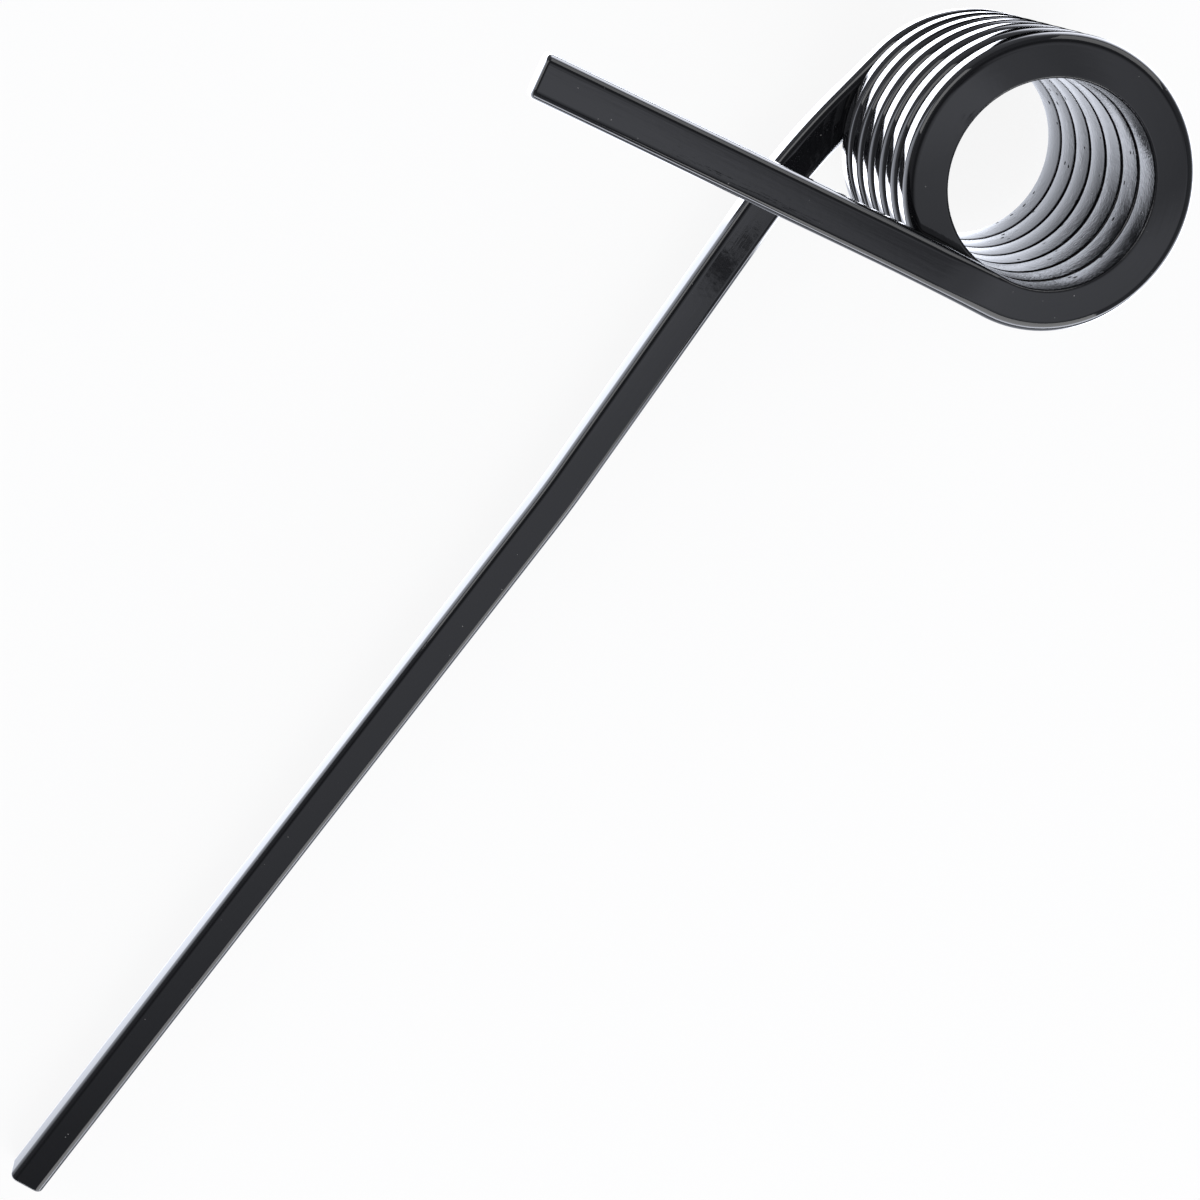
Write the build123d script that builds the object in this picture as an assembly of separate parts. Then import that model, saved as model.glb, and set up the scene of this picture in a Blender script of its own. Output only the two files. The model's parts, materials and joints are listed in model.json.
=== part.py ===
from build123d import *
import os
from math import atan, cos, degrees, pi, radians, sin, sqrt, tan

# A heavy torsion spring wound from one length of square bar, in millimetres.
# The coil's axis is Z and the origin is on it, halfway along the coil.
# The long arm leaves the lower end of the coil and points along +X; the short arm leaves the upper end.

# Square spring bar
bar = 10.0                  # side of the square
corner_radius = 2.2         # rolled corners of the bar, each worked as three flats that hug this radius
bore_corner_radius = 1.0    # the two corners on the bore side, squeezed tight by coiling
end_rounding = 1.0          # edges of the two cut ends, each worked as a flat that touches this radius

# Coil, wound left-handed with a hair's breadth between the turns
bore = 45.0                 # across the inside of the coil
pitch = 10.8                # rise of one turn
coil_angle = 6 * 360 + 251  # from where one arm leaves to where the other does
bore_trim = 0.04            # skin that the bore takes off the inside of the turns, to leave a true cylinder
keystone_factor = 0.48      # how far coiling thickens the bar's inner side and thins its outer side

# Arms, each given from the point where it leaves the coil
lead_length = 15.0          # stretch in which the bar levels out and becomes square again
long_arm_length = 384.5
long_arm_bend = 10.6        # first bend, the same way as the coil turns
long_arm_bend_radius = 190.0
long_arm_set_at = 130.0     # where the second bend starts
long_arm_set = 2.6          # second bend, back the other way
long_arm_set_radius = 350.0
short_arm_length = 113.5
short_arm_set = 1.1         # slight opening bend
short_arm_set_radius = 1000.0

# What follows from those sizes
mean_radius = bore / 2 + bar / 2
outside = bore + 2 * bar
lead_angle = degrees(atan(pitch / (2 * pi * mean_radius)))
coil_rise = pitch * coil_angle / 360
lead_radius = lead_length / radians(lead_angle)
lead_reach = lead_radius * sin(radians(lead_angle))
lead_drop = lead_radius * (1 - cos(radians(lead_angle)))
long_arm_leaves_at = -90 - long_arm_bend + long_arm_set
short_arm_leaves_at = long_arm_leaves_at - coil_angle
# Coiling a square bar upsets its inner side and stretches its outer side, into a keystone
bore_side = bar * keystone_factor * (outside / (2 * mean_radius) + 1)
outer_side = 2 * bar - bore_side


def eased(section, bore_radius, outer_radius):
    """A section whose corners are cut at 45 degrees, with the edges that this leaves cut once more.

    The bore side is towards -X. The three flats touch the corner's radius and hug it closely.
    """
    for cut in (2 - sqrt(2), tan(pi / 8) - tan(pi / 16)):
        section = chamfer(section.vertices().filter_by(lambda corner: corner.X < 0), cut * bore_radius)
        section = chamfer(section.vertices().filter_by(lambda corner: corner.X > 0), cut * outer_radius)
    return section


def square_section():
    """The straight bar: a square with eased corners."""
    return eased(Rectangle(bar, bar), corner_radius, corner_radius)


def coiled_section():
    """The coiled bar: a keystone, thicker on the bore side (towards -X) than on the outside."""
    outline = Polyline(
        (-bar / 2 - bore_trim, -bore_side / 2),
        (bar / 2, -outer_side / 2),
        (bar / 2, outer_side / 2),
        (-bar / 2 - bore_trim, bore_side / 2),
        close=True,
    )
    return eased(make_face(outline), bore_corner_radius, corner_radius)


def coil():
    """The keystone section carried up a left-hand helix, from the long arm to the short arm."""
    helix = Helix(pitch, coil_rise, mean_radius, lefthand=True)
    helix = Pos(0, 0, -coil_rise / 2) * Rot(0, 0, long_arm_leaves_at) * helix
    start = Plane(origin=helix @ 0, x_dir=radial(long_arm_leaves_at), z_dir=helix % 0)
    return sweep(start * coiled_section(), path=helix, is_frenet=True)


def radial(angle):
    """Outward direction at an angle round the coil."""
    return Vector(cos(radians(angle)), sin(radians(angle)), 0)


def lead():
    """The bar from the end of the coil to the level arm, bending gently and squaring up as it goes.

    It ends at the origin and heads along +X, with the coil's axis on its +Y side.
    """
    start_point = Vector(-lead_reach, 0, lead_drop)
    start_heading = Vector(cos(radians(lead_angle)), 0, -sin(radians(lead_angle)))
    curve = TangentArc(start_point, Vector(0, 0, 0), tangent=start_heading)
    coil_end = Plane(origin=start_point, x_dir=(0, -1, 0), z_dir=start_heading)
    arm_end = Plane(origin=(0, 0, 0), x_dir=(0, -1, 0), z_dir=(1, 0, 0))
    return sweep([coil_end * coiled_section(), arm_end * square_section()], path=curve, multisection=True)


def ease_end(arm, tip, heading):
    """Takes the sharp edges off an arm's cut end."""
    cut_end = arm.faces().filter_by(lambda face: face.distance_to(tip) < 0.001).sort_by(Axis(tip, heading))[-1]
    return chamfer(cut_end.edges(), end_rounding * (2 - sqrt(2)))


def long_arm():
    """Level bar with a bend near the coil and a slight bend back, then straight to its end."""
    first = JernArc((0, 0, 0), (1, 0, 0), long_arm_bend_radius, long_arm_bend)
    straight = long_arm_set_at - lead_length - first.length
    middle = Line(first @ 1, first @ 1 + (first % 1) * straight)
    second = JernArc(middle @ 1, middle % 1, long_arm_set_radius, -long_arm_set)
    last = Line(second @ 1, second @ 1 + (second % 1) * (long_arm_length - long_arm_set_at - second.length))
    section = Plane.YZ * square_section()
    arm = sweep(section, path=Wire([first, middle, second, last]))
    return ease_end(arm, last @ 1, last % 1)


def short_arm():
    """Level bar that opens very slightly and runs straight to its end."""
    first = JernArc((0, 0, 0), (1, 0, 0), short_arm_set_radius, -short_arm_set)
    last = Line(first @ 1, first @ 1 + (first % 1) * (short_arm_length - lead_length - first.length))
    section = Plane.YZ * square_section()
    arm = sweep(section, path=Wire([first, last]))
    return ease_end(arm, last @ 1, last % 1)


def arm_place(leaves_at, end):
    """Frame of an arm past its lead: X along the arm, Y towards the coil's axis, Z along the coil.

    The end is -1 for the lower end of the coil and 1 for the upper end.
    """
    heading = radial(leaves_at - 90 * end)
    start = radial(leaves_at) * mean_radius + Vector(0, 0, end * (coil_rise / 2 + lead_drop))
    return Plane(origin=start + heading * lead_reach, x_dir=heading, z_dir=(0, 0, -end))


def spring():
    """The whole spring as one solid, its turns trimmed to the bore."""
    lower = arm_place(long_arm_leaves_at, -1)
    upper = arm_place(short_arm_leaves_at, 1)
    wound = coil() + lower * lead() + lower * long_arm() + upper * lead() + upper * short_arm()
    return wound - Rot(0, 0, 180) * Cylinder(bore / 2, 2 * coil_rise)


torsion_spring = spring()
os.makedirs("parts", exist_ok=True)
export_step(torsion_spring, "parts/torsion_spring.step")
print("solids", len(torsion_spring.solids()), "valid", torsion_spring.is_valid)
print("volume mm3", round(torsion_spring.volume, 1), "box", torsion_spring.bounding_box())
print("lead angle", round(lead_angle, 3), "bore side", round(bore_side, 3), "outer side", round(outer_side, 3))
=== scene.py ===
import json
from math import atan, cos, pi, radians, sin

import bmesh
import bpy
from mathutils import Matrix, Vector


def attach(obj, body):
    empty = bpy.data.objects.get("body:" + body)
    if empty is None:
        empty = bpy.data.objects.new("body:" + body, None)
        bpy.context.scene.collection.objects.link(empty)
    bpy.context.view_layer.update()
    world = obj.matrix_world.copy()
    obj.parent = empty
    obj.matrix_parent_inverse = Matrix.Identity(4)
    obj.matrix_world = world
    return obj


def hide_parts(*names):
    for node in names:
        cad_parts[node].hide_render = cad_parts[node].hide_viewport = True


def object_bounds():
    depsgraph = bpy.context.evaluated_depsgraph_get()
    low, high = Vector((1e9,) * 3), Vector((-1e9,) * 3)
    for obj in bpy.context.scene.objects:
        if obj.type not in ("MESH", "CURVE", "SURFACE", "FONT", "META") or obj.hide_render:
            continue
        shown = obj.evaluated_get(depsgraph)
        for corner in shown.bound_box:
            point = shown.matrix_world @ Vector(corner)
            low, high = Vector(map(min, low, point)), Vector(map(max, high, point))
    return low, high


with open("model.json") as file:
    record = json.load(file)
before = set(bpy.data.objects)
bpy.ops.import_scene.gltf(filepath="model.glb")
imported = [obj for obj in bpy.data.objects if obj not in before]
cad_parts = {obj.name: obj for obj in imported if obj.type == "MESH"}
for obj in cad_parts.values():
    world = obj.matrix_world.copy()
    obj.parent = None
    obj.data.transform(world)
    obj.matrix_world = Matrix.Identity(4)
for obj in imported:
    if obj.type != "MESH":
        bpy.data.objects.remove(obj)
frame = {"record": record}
cad_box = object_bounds()

# ---------------------------------------------------------------------------------------------
# The coil
# Square spring bar with rolled corners, wound left-handed round a mandrel with a hair's breadth
# between the turns. Winding squeezes the bore side thicker and its corners tighter, and draws the
# outer side thinner and rounder, leaning very slightly.

mm = 0.001
bar = 10 * mm
corner_radius = 2.2 * mm
bore_corner_radius = 1.0 * mm
outer_corner_radius = 2.7 * mm
outer_lean = 0.038
corner_steps = 7
bore_side_cuts = 7
outer_side_cuts = 1
bore_mount = next(mount for mount in frame["record"]["mounts"] if mount["name"] == "coil_bore")
bore_radius = bore_mount["dims"]["r_mm"] * mm
coil_radius = bore_radius + bar / 2
pitch = 10.8 * mm
turned = radians(6 * 360 + 251)
steps_per_turn = 120
long_arm_leaves_at = radians(-98)
keystone = 0.0946 / bar
bore_crown = 0.20 * mm
up = Vector((0, 0, 1))


def coiled(place):
    """Where coiling moves a point of the square section. The bore side is towards -X."""
    flat_half = bar / 2 - corner_radius
    outside = place.x > 0
    new_radius = outer_corner_radius if outside else bore_corner_radius
    new_flat_half = bar / 2 - new_radius
    round_across = max(0, abs(place.x) - flat_half) / corner_radius
    round_along = max(0, abs(place.y) - flat_half) / corner_radius
    across = new_flat_half + round_across * new_radius
    along = min(abs(place.y), flat_half) * new_flat_half / flat_half + round_along * new_radius
    y = along if place.y > 0 else -along
    if outside:
        x = across + outer_lean * (y - new_flat_half) * round_across
    else:
        x = -across + bore_crown * round_across * min(1, (y / new_flat_half) ** 2)
    return Vector((x, y * (1 - keystone * x), 0))


def middle_of(end):
    """The bar's middle on an end face: halfway from its bore side's middle to its outer side's."""
    middles = [point.co for point in end.verts if abs(point[section_place].y) < 0.01 * mm]
    return sum(middles, Vector()) / len(middles)


def shape_end(end, outward, share):
    """Gives an end face the bar's square section, or its coiled section where the share is 1."""
    middle = middle_of(end)
    side = end.normal.cross(outward).normalized()
    top = max(end.verts, key=lambda point: point[section_place].y)
    if (top.co - middle).dot(side) < 0:
        side = -side
    for point in end.verts:
        square = point[section_place]
        place = square.lerp(coiled(square), share)
        point.co = middle + outward * place.x + side * place.y


def carry_on(end, made, start, joined):
    """Tidies a new stretch of bar and notes how far along the bar its end is."""
    if joined:
        bmesh.ops.delete(spring_mesh, geom=[end], context="FACES_ONLY")
    end = next(part for part in made if isinstance(part, bmesh.types.BMFace))
    end.normal_update()
    length = (middle_of(end) - start).length
    for point in end.verts:
        point[along_bar] += Vector((length, 0, 0))
    return end


def spin_on(end, centre, axis, angle, steps, climb=0.0):
    """Carries the bar round from an end face and returns the new end face."""
    for step in range(steps):
        start = middle_of(end)
        joined = any(len(edge.link_faces) > 1 for edge in end.edges)
        made = bmesh.ops.spin(
            spring_mesh, geom=[end], cent=centre, axis=axis, angle=angle / steps, steps=1,
            dvec=up * climb / steps,
        )
        end = carry_on(end, made["geom_last"], start, joined)
    return end


spring_mesh = bmesh.new()
along_bar = spring_mesh.verts.layers.float_vector.new("along_bar")
section_place = spring_mesh.verts.layers.float_vector.new("section_place")
bmesh.ops.create_grid(spring_mesh, x_segments=1, y_segments=1, size=bar / 2)
bmesh.ops.bevel(
    spring_mesh, geom=list(spring_mesh.verts), offset=corner_radius, segments=corner_steps,
    profile=0.5, affect="VERTICES", material=-1,
)
sides = sorted(spring_mesh.edges, key=lambda edge: edge.verts[0].co.x + edge.verts[1].co.x)
bore_side, outer_side = sides[0], sides[-1]
bmesh.ops.subdivide_edges(spring_mesh, edges=[bore_side], cuts=bore_side_cuts)
bmesh.ops.subdivide_edges(spring_mesh, edges=[outer_side], cuts=outer_side_cuts)
for point in spring_mesh.verts:
    point[section_place] = point.co
    point[along_bar] = (0, point.co.x, point.co.y)
spring_mesh.faces.ensure_lookup_table()
lower_end = spring_mesh.faces[0]

climb = pitch * turned / (2 * pi)
slope = atan(pitch / (2 * pi * coil_radius))
out_to_turn = Matrix.Translation((coil_radius, 0, -climb / 2))
to_lower_end = Matrix.Rotation(long_arm_leaves_at, 4, "Z") @ out_to_turn
stand_section = Matrix.Rotation(pi / 2 - slope, 4, "X")
bmesh.ops.transform(spring_mesh, verts=spring_mesh.verts, matrix=to_lower_end @ stand_section)
lower_end.normal_update()
shape_end(lower_end, Vector((cos(long_arm_leaves_at), sin(long_arm_leaves_at), 0)), 1)
upper_end = spin_on(
    lower_end, (0, 0, 0), up, -turned, round(steps_per_turn * turned / (2 * pi)), climb
)

# ---------------------------------------------------------------------------------------------
# The leads
# At each end of the coil the bar levels out and goes back to a true square in a short stretch,
# still one piece with the coil and the arms.

lead_length = 15 * mm
lead_steps = 8


def bend(end, towards, radius, angle, steps=1):
    """Bends the bar on from an end face, towards one side."""
    towards = (towards - towards.dot(end.normal) * end.normal).normalized()
    return spin_on(end, middle_of(end) + towards * radius, end.normal.cross(towards), angle, steps)


def lead(end, towards):
    """The bar from an end of the coil to where its arm is level and square."""
    outward = Vector((*middle_of(end).xy, 0)).normalized()
    for step in range(lead_steps):
        end = bend(end, towards, lead_length / slope, slope / lead_steps)
        shape_end(end, outward, 1 - (step + 1) / lead_steps)
    return end


long_arm = lead(lower_end, up)
short_arm = lead(upper_end, -up)

# ---------------------------------------------------------------------------------------------
# The arms
# The long arm is bent a little further the way the coil turns, then set slightly back, and the
# short arm opens very slightly. Both are sheared square and have their cut edges rounded.

long_arm_length = 384.5 * mm
first_bend = radians(10.6)
first_bend_radius = 190 * mm
first_bend_steps = 16
second_bend_at = 130 * mm
second_bend = radians(2.6)
second_bend_radius = 350 * mm
second_bend_steps = 6
short_arm_length = 113.5 * mm
short_arm_set = radians(1.1)
short_arm_set_radius = 1000 * mm
short_arm_set_steps = 4
end_rounding = 1 * mm
end_rounding_steps = 4


def run_on(end, length):
    """Carries the bar straight on from an end face."""
    start = middle_of(end)
    way = end.normal * length
    made = bmesh.ops.extrude_face_region(spring_mesh, geom=[end])
    points = [part for part in made["geom"] if isinstance(part, bmesh.types.BMVert)]
    bmesh.ops.translate(spring_mesh, verts=points, vec=way)
    return carry_on(end, made["geom"], start, True)


def round_end(end):
    bmesh.ops.bevel(
        spring_mesh, geom=list(end.edges), offset=end_rounding, segments=end_rounding_steps,
        profile=0.5, affect="EDGES", material=-1,
    )


first_length = first_bend_radius * first_bend
second_length = second_bend_radius * second_bend
onwards = up.cross(long_arm.normal)
long_arm = bend(long_arm, onwards, first_bend_radius, first_bend, first_bend_steps)
long_arm = run_on(long_arm, second_bend_at - lead_length - first_length)
back = long_arm.normal.cross(up)
long_arm = bend(long_arm, back, second_bend_radius, second_bend, second_bend_steps)
long_arm = run_on(long_arm, long_arm_length - second_bend_at - second_length)
round_end(long_arm)

set_length = short_arm_set_radius * short_arm_set
onwards = up.cross(short_arm.normal)
short_arm = bend(short_arm, onwards, short_arm_set_radius, short_arm_set, short_arm_set_steps)
short_arm = run_on(short_arm, short_arm_length - lead_length - set_length)
round_end(short_arm)

bmesh.ops.recalc_face_normals(spring_mesh, faces=spring_mesh.faces)
for face in spring_mesh.faces:
    face.smooth = True
spring_data = bpy.data.meshes.new("coated_bar")
spring_mesh.to_mesh(spring_data)
spring_mesh.free()
spring = bpy.data.objects.new("coated_bar", spring_data)
bpy.context.scene.collection.objects.link(spring)
flat_sides = spring.modifiers.new("flat_sides", "WEIGHTED_NORMAL")
flat_sides.weight = 100
flat_sides.keep_sharp = False
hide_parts("torsion_spring")
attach(spring, "root")

# ---------------------------------------------------------------------------------------------
# The black coating
# A thick, glossy black coat over the whole bar. It dries with a faint orange peel, lies rougher
# and pitted inside the coil, and picks up fine pale dust.

deep_black = (0.0066, 0.0068, 0.0078, 1)
pale_dust = (0.30, 0.29, 0.28, 1)
micron = 0.000001


class Signal:
    """A value that varies over a surface. Arithmetic on it adds Math nodes."""

    def __init__(self, nodes, socket):
        self.nodes = nodes
        self.socket = socket

    def math(self, operation, *values):
        return self.nodes.add("ShaderNodeMath", {"operation": operation}, dict(enumerate(values)))

    def __add__(self, other):
        return self.math("ADD", self, other)

    def __radd__(self, other):
        return self.math("ADD", other, self)

    def __sub__(self, other):
        return self.math("SUBTRACT", self, other)

    def __rsub__(self, other):
        return self.math("SUBTRACT", other, self)

    def __mul__(self, other):
        return self.math("MULTIPLY", self, other)

    def __rmul__(self, other):
        return self.math("MULTIPLY", other, self)

    def __abs__(self):
        return self.math("ABSOLUTE", self)


class Finish:
    """The nodes of one material or of the surround."""

    def __init__(self, tree):
        self.tree = tree
        tree.nodes.clear()

    def add(self, kind, settings, sockets, output=0):
        """Adds a node: its settings first, then its sockets' values or links. Gives one output."""
        made = self.tree.nodes.new(kind)
        for name, value in settings.items():
            setattr(made, name, value)
        for name, value in sockets.items():
            if isinstance(value, Signal):
                self.tree.links.new(value.socket, made.inputs[name])
            else:
                made.inputs[name].default_value = value
        return Signal(self, made.outputs[output] if made.outputs else None)

    def fade(self, value, start, end, low=0.0, high=1.0):
        """Goes smoothly from low to high as a value goes from start to end."""
        return self.add(
            "ShaderNodeMapRange",
            {"interpolation_type": "SMOOTHSTEP"},
            {"Value": value, "From Min": start, "From Max": end, "To Min": low, "To Max": high},
        )

    def parts_of(self, vector):
        return [self.add("ShaderNodeSeparateXYZ", {}, {"Vector": vector}, axis) for axis in "XYZ"]

    def length(self, x, y):
        both = self.add("ShaderNodeCombineXYZ", {}, {"X": x, "Y": y})
        return self.add("ShaderNodeVectorMath", {"operation": "LENGTH"}, {0: both}, "Value")


coating = bpy.data.materials.new("black_coating")
coating.use_nodes = True
coat = Finish(coating.node_tree)
surface = coat.add("ShaderNodeTexCoord", {}, {}, "Object")
surface_x, surface_y, surface_z = coat.parts_of(surface)
run = coat.add("ShaderNodeAttribute", {"attribute_name": "along_bar"}, {}, "Vector")


def noise(where, scale, detail, roughness):
    sockets = {"Vector": where, "Scale": scale, "Detail": detail, "Roughness": roughness}
    return coat.add("ShaderNodeTexNoise", {}, sockets)


def drawn_out(share):
    """The run of the bar, shortened so that what lies on it is drawn out lengthways."""
    return coat.add("ShaderNodeVectorMath", {"operation": "MULTIPLY"}, {0: run, 1: (share, 1, 1)})


def dots(scale, edge, core, fewest, most, channel):
    """Small round dots, one in each cell that a colour channel picks."""
    cells = {"Vector": surface, "Scale": scale}
    pick = coat.parts_of(coat.add("ShaderNodeTexVoronoi", {}, cells, "Color"))[channel]
    from_middle = coat.add("ShaderNodeTexVoronoi", {}, cells, "Distance")
    return coat.fade(from_middle, edge, core) * coat.fade(pick, fewest, most)


in_bore = coat.fade(
    coat.length(surface_x, surface_y), bore_radius + 0.9 * mm, bore_radius + 0.4 * mm
)
marks = noise(drawn_out(0.08), 900, 3, 0.5)
ripples = noise(drawn_out(0.5), 260, 4, 0.55)
peel = noise(surface, 500, 2, 0.45)
grain = noise(surface, 1900, 2, 0.5)
pebbles = noise(surface, 950, 4, 0.6)
patches = noise(surface, 70, 3, 0.6)
near_top = coat.fade(surface_z, 10 * mm, 28 * mm)
rough = in_bore * (coat.fade(patches, 0.50, 0.60) * 0.7 + near_top * 0.5)
pits = dots(300, 0.19, 0.11, 0.45, 0.55, 0) * in_bore * coat.fade(patches, 0.44, 0.50)
specks = dots(420, 0.085, 0.045, 0.62, 0.95, 1)

all_over = peel * 6 + marks * 10
inside = (grain * 34 + ripples * 60) * in_bore + pebbles * rough * 80 - pits * 120
bumps = coat.add(
    "ShaderNodeBump", {}, {"Strength": 1.0, "Distance": micron, "Height": all_over + inside}
)
dulled = 0.03 + patches * 0.03 + in_bore * 0.10 + pits * 0.8 + specks * 0.4
dusted = {"Factor": specks * 0.5, 6: deep_black, 7: pale_dust}
colour = coat.add("ShaderNodeMix", {"data_type": "RGBA"}, dusted, 2)
shell = coat.add(
    "ShaderNodeBsdfPrincipled",
    {},
    {"Base Color": colour, "Roughness": dulled, "IOR": 1.5, "Normal": bumps},
)
coat.add("ShaderNodeOutputMaterial", {}, {"Surface": shell})
spring.data.materials.append(coating)

# ---------------------------------------------------------------------------------------------
# The studio
# A plain white table and three large soft lamps in a dim room with a soft light overhead. Gloss
# black shows little but reflections, and only those see through the table top to a light table
# below it, meet shade painted on the table top, or meet the dimmer glow inside the bore and
# beside the long arm.

white = (1, 1, 1, 1)
cool_white = (0.93, 0.96, 1.06, 1)
glow_white = (0.92, 0.965, 1.08, 1)
matte_white = (0.95, 0.95, 0.95, 1)
table_half = 3
seen_white = 0.90
light_table_strength = 6.5
far_table_strength = 3
backdrop_strength = 8
lamp_distance = 1.4
lamps_aim_at = Vector((0.1, 0, 0))

table = bpy.data.materials.new("table_top")
table.use_nodes = True
top = Finish(table.node_tree)
table_x, table_y, _ = top.parts_of(top.add("ShaderNodeTexCoord", {}, {}, "Object"))
ray_length = top.add("ShaderNodeLightPath", {}, {}, "Ray Length")

# A painted shadow on the table top along the long arm, which only reflections see. It shows as a
# dark break across the outside of each turn.
from_arm = table_y + table_x * 0.176 + 35.1 * mm
painted_arm_shadow = top.fade(from_arm, -0.6 * mm, 0.6 * mm) * top.fade(from_arm, 9.5 * mm, 8 * mm)
painted_arm_shadow = painted_arm_shadow * top.fade(table_x, 0, 4 * mm) * top.fade(table_x, 46 * mm, 40 * mm)
painted_arm_shadow = painted_arm_shadow * top.fade(ray_length, 10 * mm, 14 * mm)
painted_arm_shadow = painted_arm_shadow * top.fade(ray_length, 79 * mm, 76 * mm)

# Painted shade: beside the coil, away from the arms, reflections see the table top dark, except
# those that have travelled more than about 80 mm.
painted_dark_beside_coil = top.fade(table_x, -33 * mm, -36 * mm) * top.fade(table_y, 25 * mm, 15 * mm)
painted_dark_beside_coil = painted_dark_beside_coil * top.fade(ray_length, 82 * mm, 79 * mm)
# What reflections see through the table top is dimmed by both patches of painted shade.
clear = (1 - painted_dark_beside_coil) * (1 - painted_arm_shadow)
painted_shade_tint = top.add("ShaderNodeCombineColor", {}, {"Red": clear, "Green": clear, "Blue": clear})

# Inside the bore the glow is dim on the short arm's side, and the top turn sees its edge dark.
in_ring = top.fade(top.length(table_x, table_y), bore_radius + 2 * mm, bore_radius + 1 * mm)
ring_glow = top.fade(table_y, -10 * mm, -3 * mm, 0.13, 1.05) + top.fade(table_y, -3 * mm, 18 * mm)
ring_glow = ring_glow + top.fade(table_x, 2 * mm, 18 * mm) * 1.5
ring_edge = top.fade(table_x * 0.6 + table_y * 0.8, 18 * mm, 19.5 * mm)
ring_glow = ring_glow * (1 - ring_edge * top.fade(ray_length, 72 * mm, 76 * mm))

# Beside the long arm the glow dies down towards the arm's end and beyond its far side.
by_arm = top.fade(table_x, 46 * mm, 56 * mm)
arm_glow = top.fade(table_x, 200 * mm, 420 * mm, 3.6, 1.8)
arm_glow = arm_glow * top.fade(table_y, -30 * mm, -24 * mm, 1.0, 0.28)
glow = in_ring * ring_glow + by_arm * arm_glow

camera_ray = top.add("ShaderNodeLightPath", {}, {}, "Is Camera Ray")
glossy_ray = top.add("ShaderNodeLightPath", {}, {}, "Is Glossy Ray")
transmission_ray = top.add("ShaderNodeLightPath", {}, {}, "Is Transmission Ray")
matte = top.add("ShaderNodeBsdfDiffuse", {}, {"Color": matte_white})
lit_white = top.add("ShaderNodeEmission", {}, {"Color": white, "Strength": 1.0})
see_through = top.add("ShaderNodeBsdfTransparent", {}, {"Color": painted_shade_tint})
glowing = top.add("ShaderNodeEmission", {}, {"Color": glow_white, "Strength": glow})
whitened = seen_white * (camera_ray + transmission_ray)
plain = top.add("ShaderNodeMixShader", {}, {0: whitened, 1: matte, 2: lit_white})
reflected = top.add("ShaderNodeMixShader", {}, {0: in_ring + by_arm, 1: see_through, 2: glowing})
table_look = top.add("ShaderNodeMixShader", {}, {0: glossy_ray, 1: plain, 2: reflected})
top.add("ShaderNodeOutputMaterial", {}, {"Surface": table_look})

floor_mesh = bmesh.new()
bmesh.ops.create_grid(floor_mesh, x_segments=1, y_segments=1, size=table_half)
bmesh.ops.translate(floor_mesh, verts=floor_mesh.verts, vec=(0, 0, cad_box[0][2]))
floor_data = bpy.data.meshes.new("floor")
floor_mesh.to_mesh(floor_data)
floor_mesh.free()
floor = bpy.data.objects.new("floor", floor_data)
floor.data.materials.append(table)
bpy.context.scene.collection.objects.link(floor)

world = bpy.data.worlds.new("surround")
bpy.context.scene.world = world
world.use_nodes = True
sky = Finish(world.node_tree)
direction = sky.add("ShaderNodeTexCoord", {}, {}, "Generated")
sky_x, sky_y, sky_z = sky.parts_of(direction)


def way_to(azimuth, elevation):
    """The direction of a place in the surround, from its degrees round and degrees up."""
    azimuth, elevation = radians(azimuth), radians(elevation)
    return Vector((cos(azimuth) * cos(elevation), sin(azimuth) * cos(elevation), sin(elevation)))


def facing(way):
    """How nearly the surround's direction is the given one: 1 is straight at it."""
    both = {0: direction, 1: way}
    return sky.add("ShaderNodeVectorMath", {"operation": "DOT_PRODUCT"}, both, "Value")


# The light table lies straight below and runs on past the long arm. Towards the far edges of the
# bar it is about as bright as the table top.
below = sky.fade(sky_z, -0.5, -0.75)
past_arm = sky_y * 0.985 - sky_x * 0.17
straight_down = sky.fade(sky_z, -0.935, -0.945)
farther_on = below * sky.fade(sky_z, -0.935, -0.925) * sky.fade(past_arm, 0.2, 0.3)
light_table = straight_down * light_table_strength + farther_on * far_table_strength
far_edges = sky.fade(sky_x, -0.20, -0.16) * sky.fade(sky_y, 0.05, 0.12)
light_table = light_table * (1 - far_edges * 0.85)

# A bright backdrop stands beyond the far side of the bar.
far_side = sky.fade(past_arm, -0.45, -0.1) * sky.fade(sky_z, -0.80, -0.65)
corner = sky.fade(facing(way_to(45, 0)), 0.3, 0.8) * sky.fade(sky_z, 0.30, 0.12)
backdrop = far_side * (sky.fade(sky_z, 0.05, -0.4) + corner) * backdrop_strength

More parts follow.
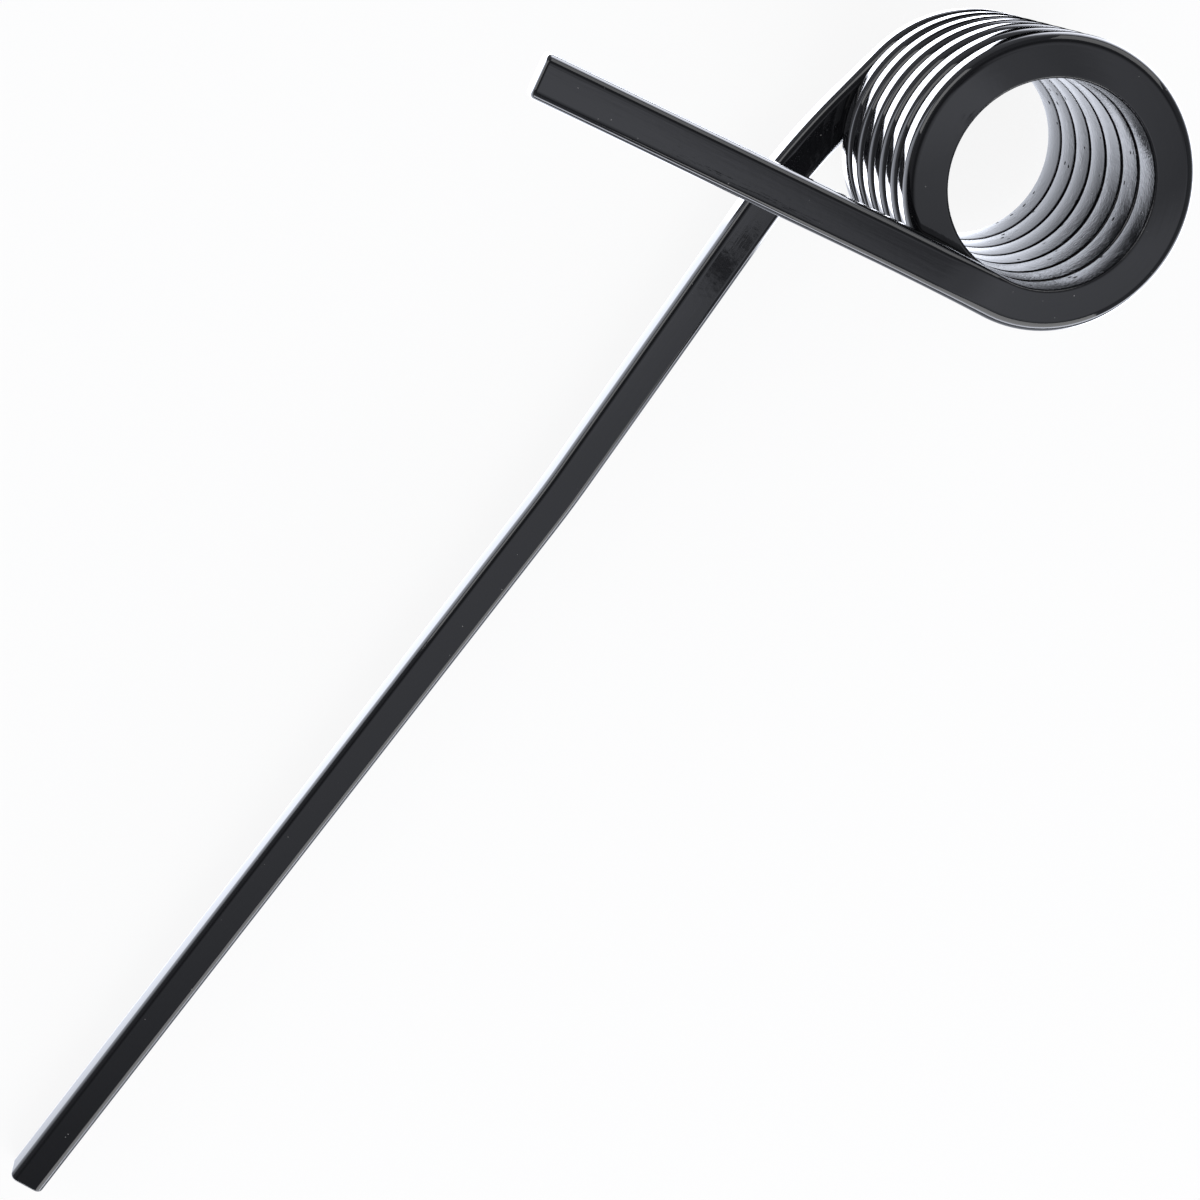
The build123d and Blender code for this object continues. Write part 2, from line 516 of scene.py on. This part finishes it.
# Overhead the soft light is a little brighter to one side and darker in one corner.
overhead = facing(way_to(90, 83))
soft_light = sky.fade(overhead, 0.80, 1.02) * 0.85 + sky.fade(overhead, 0.98, 1.0) * 0.3
brighter_side = sky.fade(sky_y, 0.38, 0.48) * sky.fade(sky_z, 0.7, 0.8)
darker_corner = sky.fade(sky_x, 0.02, -0.05) * sky.fade(sky_x, -0.22, -0.12)
darker_corner = darker_corner * sky.fade(sky_y, 0.40, 0.32) * sky.fade(sky_z, 0.9, 0.95)
ceiling = soft_light + brighter_side * 0.5 - darker_corner * 0.45
room = 0.3 - sky.fade(sky_z, 0.6, 0.8) * 0.18 + sky.fade(sky_z, 0.27, 0.12) * 0.3 - below * 0.4

# A dark fitting hangs in the soft light.
rod = sky.fade(abs(sky_x - 0.0205), 0.0045, 0.003) * sky.fade(sky_y, 0.249, 0.251)
fitting = rod + sky.fade(sky_x, 0.029, 0.032) * sky.fade(sky_x, 0.052, 0.036)
fitting = fitting * sky.fade(sky_z, 0.95, 0.96)
fitting = fitting * sky.fade(sky_y, 0.21, 0.22) * sky.fade(sky_y, 0.29, 0.28)
level = (room + ceiling + backdrop + light_table) * (1 - fitting * 0.9)

around = sky.add("ShaderNodeBackground", {}, {"Color": cool_white, "Strength": level})
white_room = sky.add("ShaderNodeBackground", {}, {"Color": white, "Strength": 1.0})
into_room = sky.add("ShaderNodeLightPath", {}, {}, "Is Camera Ray")
room_look = sky.add("ShaderNodeMixShader", {}, {0: into_room, 1: around, 2: white_room})
sky.add("ShaderNodeOutputWorld", {}, {"Surface": room_look})

for name, azimuth, elevation, width, tall, brightness in (
    ("key_lamp", 55, 32, 1.3, 0.8, 3.2),
    ("fill_lamp", -92, 20, 1.0, 0.55, 2.75),
    ("side_lamp", 180, 22, 1.1, 0.7, 2.0),
):
    lamp_data = bpy.data.lights.new(name, "AREA")
    lamp_data.shape = "RECTANGLE"
    lamp_data.size = width
    lamp_data.size_y = tall
    lamp_data.energy = brightness * pi * width * tall
    lamp = bpy.data.objects.new(name, lamp_data)
    away = way_to(azimuth, elevation)
    lamp.location = lamps_aim_at + lamp_distance * away
    lamp.rotation_euler = away.to_track_quat("Z", "Y").to_euler()
    bpy.context.scene.collection.objects.link(lamp)

camera_data = bpy.data.cameras.new("camera")
camera_data.lens = 65.0
camera_data.sensor_width = 36
camera = bpy.data.objects.new("camera", camera_data)
camera.location = (0.0409, -0.17089, 0.50123)
camera.rotation_euler = [radians(turn) for turn in (-19.43422, -7.23521, 127.85837)]
bpy.context.scene.collection.objects.link(camera)
bpy.context.scene.camera = camera
bpy.context.scene.view_settings.view_transform = "Standard"
